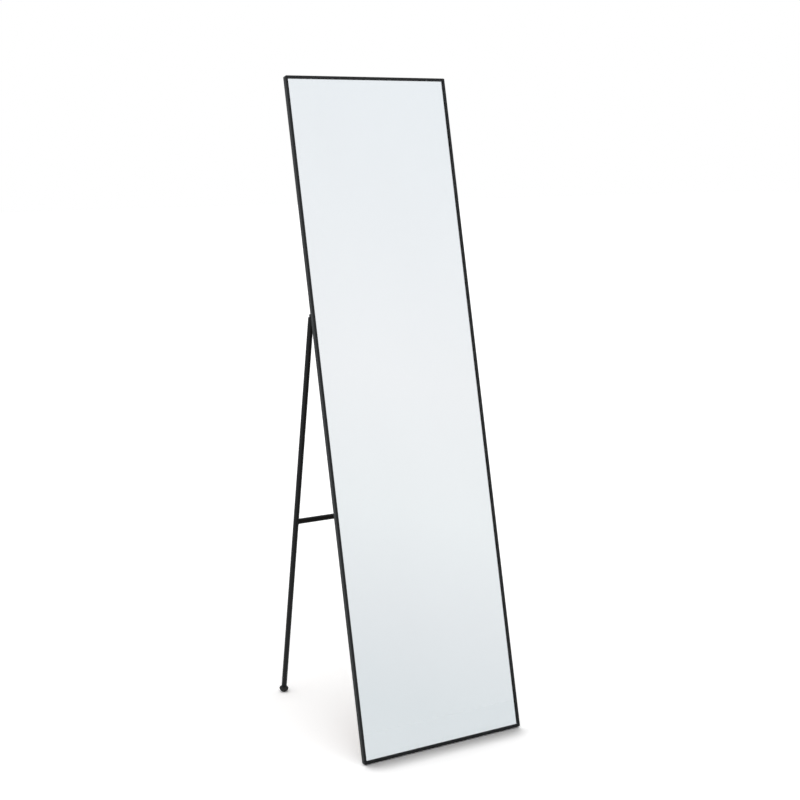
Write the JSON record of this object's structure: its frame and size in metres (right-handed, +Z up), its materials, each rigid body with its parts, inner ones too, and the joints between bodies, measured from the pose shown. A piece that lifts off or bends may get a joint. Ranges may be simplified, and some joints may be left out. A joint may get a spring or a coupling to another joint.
{
  "type": "leaning floor mirror",
  "caption": "Tall slim-framed floor mirror that leans back against its own folding rear stand, a pair of round legs with a crossbar and domed feet.",
  "frame": {"origin": "centre of the base of the overall box, on the floor plane", "axes": "+Z up, -Y towards the person who looks in the mirror, X along the frame's width; the mirror leans back towards +Y and the stand is behind it"},
  "size_m": [0.4092, 0.4564, 1.4591],
  "materials": {
    "frame_powder_coat": "satin black powder coat on aluminium",
    "stand_powder_coat": "satin black powder coat on steel",
    "silvered_glass": "clear float glass, silvered on the back",
    "hardboard": "plain hardboard, smooth side out",
    "zinc_steel": "zinc plated",
    "nylon": "natural nylon",
    "black_rubber": "matt moulded rubber"
  },
  "bodies": {
    "mirror": {"left_rail": "frame_powder_coat", "right_rail": "frame_powder_coat", "top_rail": "frame_powder_coat", "bottom_rail": "frame_powder_coat", "mirror_glass": "silvered_glass", "back_panel": "hardboard", "corner_key_bottom_left": "zinc_steel", "corner_key_bottom_right": "zinc_steel", "corner_key_top_right": "zinc_steel", "corner_key_top_left": "zinc_steel", "hinge_bracket_left": "stand_powder_coat", "hinge_bracket_right": "stand_powder_coat", "bracket_nut_plate_left": "zinc_steel", "bracket_nut_plate_right": "zinc_steel", "hinge_washer_left": "nylon", "hinge_washer_right": "nylon", "hinge_rivet_left": "stand_powder_coat", "hinge_rivet_right": "stand_powder_coat", "floor_pad_left": "black_rubber", "floor_pad_right": "black_rubber", "grub_screw_bottom_left_1": "zinc_steel", "grub_screw_bottom_left_2": "zinc_steel", "grub_screw_bottom_right_1": "zinc_steel", "grub_screw_bottom_right_2": "zinc_steel", "grub_screw_top_right_1": "zinc_steel", "grub_screw_top_right_2": "zinc_steel", "grub_screw_top_left_1": "zinc_steel", "grub_screw_top_left_2": "zinc_steel", "bracket_screw_left_1": "zinc_steel", "bracket_screw_left_2": "zinc_steel", "bracket_screw_right_1": "zinc_steel", "bracket_screw_right_2": "zinc_steel"},
    "stand": {"leg_hinge_end_left": "stand_powder_coat", "leg_hinge_end_right": "stand_powder_coat", "leg_tube_left": "stand_powder_coat", "leg_tube_right": "stand_powder_coat", "rubber_foot_left": "black_rubber", "rubber_foot_right": "black_rubber", "leg_crossbar": "stand_powder_coat"}
  },
  "joints": [
    {"name": "stand_fold", "type": "hinge", "parent": "mirror", "child": "stand", "pos_m": [0, 0.02993, 0.94631], "axis": [1, 0, 0], "range_deg": [-25.2, 0]}
  ]
}
